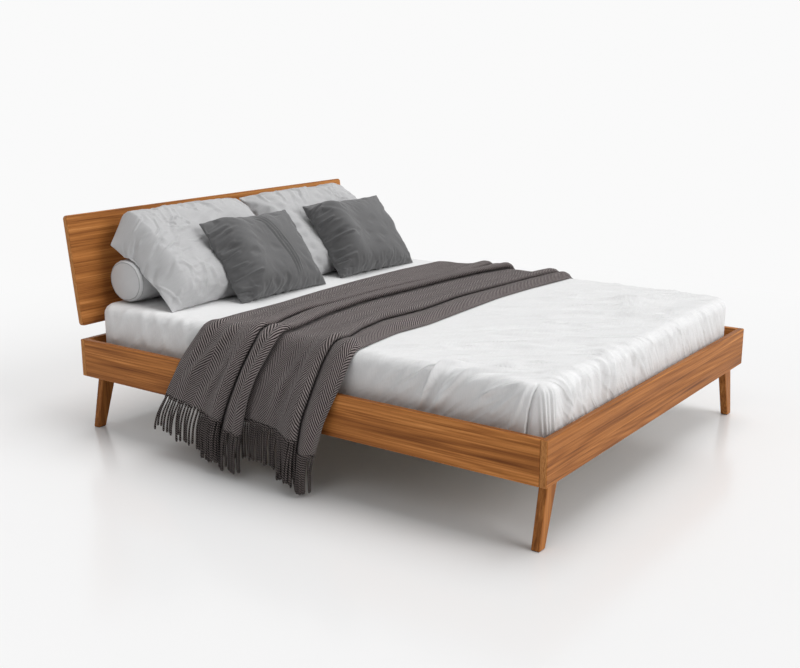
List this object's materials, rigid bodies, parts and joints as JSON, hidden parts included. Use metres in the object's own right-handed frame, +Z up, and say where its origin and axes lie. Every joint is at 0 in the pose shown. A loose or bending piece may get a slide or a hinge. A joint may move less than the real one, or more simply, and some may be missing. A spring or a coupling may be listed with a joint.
{
  "type": "double bed with bedding",
  "caption": "Low double bed in oiled solid wood with a leaning headboard and splayed legs, dressed with a sheeted mattress, bolster, pillows, cushions and a fringed throw.",
  "frame": {"origin": "on the floor under the middle of the bed frame, at the underside of the centre leg's glide", "axes": "+X to the right seen from the foot, +Y from the foot to the headboard, +Z up"},
  "size_m": [1.8432, 2.1479, 0.8551],
  "materials": {
    "oiled_wood": "oiled satin",
    "slat_wood": "raw planed",
    "zinc_steel": "zinc plated",
    "felt": "pressed felt",
    "ticking": "quilted ticking",
    "white_sheet": "plain cotton",
    "bolster_fabric": "plain cotton",
    "pillow_fabric": "plain cotton",
    "cushion_fabric": "plain weave",
    "filling": "fibre fill",
    "throw_wool": "herringbone wool"
  },
  "bodies": {
    "frame": {"headboard_panel": "oiled_wood", "head_rail": "oiled_wood", "foot_rail": "oiled_wood", "side_rail_left": "oiled_wood", "side_rail_right": "oiled_wood", "leg_foot_left": "oiled_wood", "leg_foot_right": "oiled_wood", "leg_head_left": "oiled_wood", "leg_head_right": "oiled_wood", "ledger_left": "slat_wood", "ledger_right": "slat_wood", "centre_beam": "slat_wood", "centre_leg": "slat_wood", "corner_dowels": "slat_wood", "slat_01": "slat_wood", "slat_02": "slat_wood", "slat_03": "slat_wood", "slat_04": "slat_wood", "slat_05": "slat_wood", "slat_06": "slat_wood", "slat_07": "slat_wood", "slat_08": "slat_wood", "slat_09": "slat_wood", "slat_10": "slat_wood", "slat_11": "slat_wood", "slat_12": "slat_wood", "slat_13": "slat_wood", "slat_14": "slat_wood", "headboard_strap_left": "zinc_steel", "headboard_strap_right": "zinc_steel", "headboard_screws": "zinc_steel", "strap_bolts": "zinc_steel", "corner_angles": "zinc_steel", "corner_angle_screws": "zinc_steel", "leg_bolts": "zinc_steel", "leg_washers": "zinc_steel", "ledger_screws": "zinc_steel", "slat_screws": "zinc_steel", "beam_hanger_foot": "zinc_steel", "beam_hanger_head": "zinc_steel", "beam_hanger_screws": "zinc_steel", "centre_leg_stud": "zinc_steel", "felt_glides": "felt"},
    "mattress": {"mattress_core": "ticking", "fitted_sheet": "white_sheet"},
    "bolster": {"bolster_cover": "bolster_fabric", "bolster_filling": "filling"},
    "pillow_left": {"pillow_case_left": "pillow_fabric", "pillow_filling_left": "filling"},
    "pillow_right": {"pillow_case_right": "pillow_fabric", "pillow_filling_right": "filling"},
    "cushion_left": {"cushion_cover_left": "cushion_fabric", "cushion_filling_left": "filling"},
    "cushion_right": {"cushion_cover_right": "cushion_fabric", "cushion_filling_right": "filling"},
    "throw": {"throw_cloth": "throw_wool", "throw_fringe": "throw_wool"}
  },
  "joints": [
    {"name": "mattress_lift", "type": "slide", "parent": "frame", "child": "mattress", "axis": [0, 0, 1], "range_m": [0, 0.25]},
    {"name": "bolster_pull", "type": "slide", "parent": "mattress", "child": "bolster", "axis": [-1, 0, 0], "range_m": [0, 0.5]},
    {"name": "pillow_left_lift", "type": "slide", "parent": "mattress", "child": "pillow_left", "axis": [0, 0, 1], "range_m": [0, 0.35]},
    {"name": "pillow_right_lift", "type": "slide", "parent": "mattress", "child": "pillow_right", "axis": [0, 0, 1], "range_m": [0, 0.35]},
    {"name": "cushion_left_lift", "type": "slide", "parent": "pillow_left", "child": "cushion_left", "axis": [0, 0, 1], "range_m": [0, 0.3]},
    {"name": "cushion_right_lift", "type": "slide", "parent": "pillow_right", "child": "cushion_right", "axis": [0, 0, 1], "range_m": [0, 0.3]},
    {"name": "throw_lift", "type": "slide", "parent": "mattress", "child": "throw", "axis": [0, 0, 1], "range_m": [0, 0.3]}
  ]
}
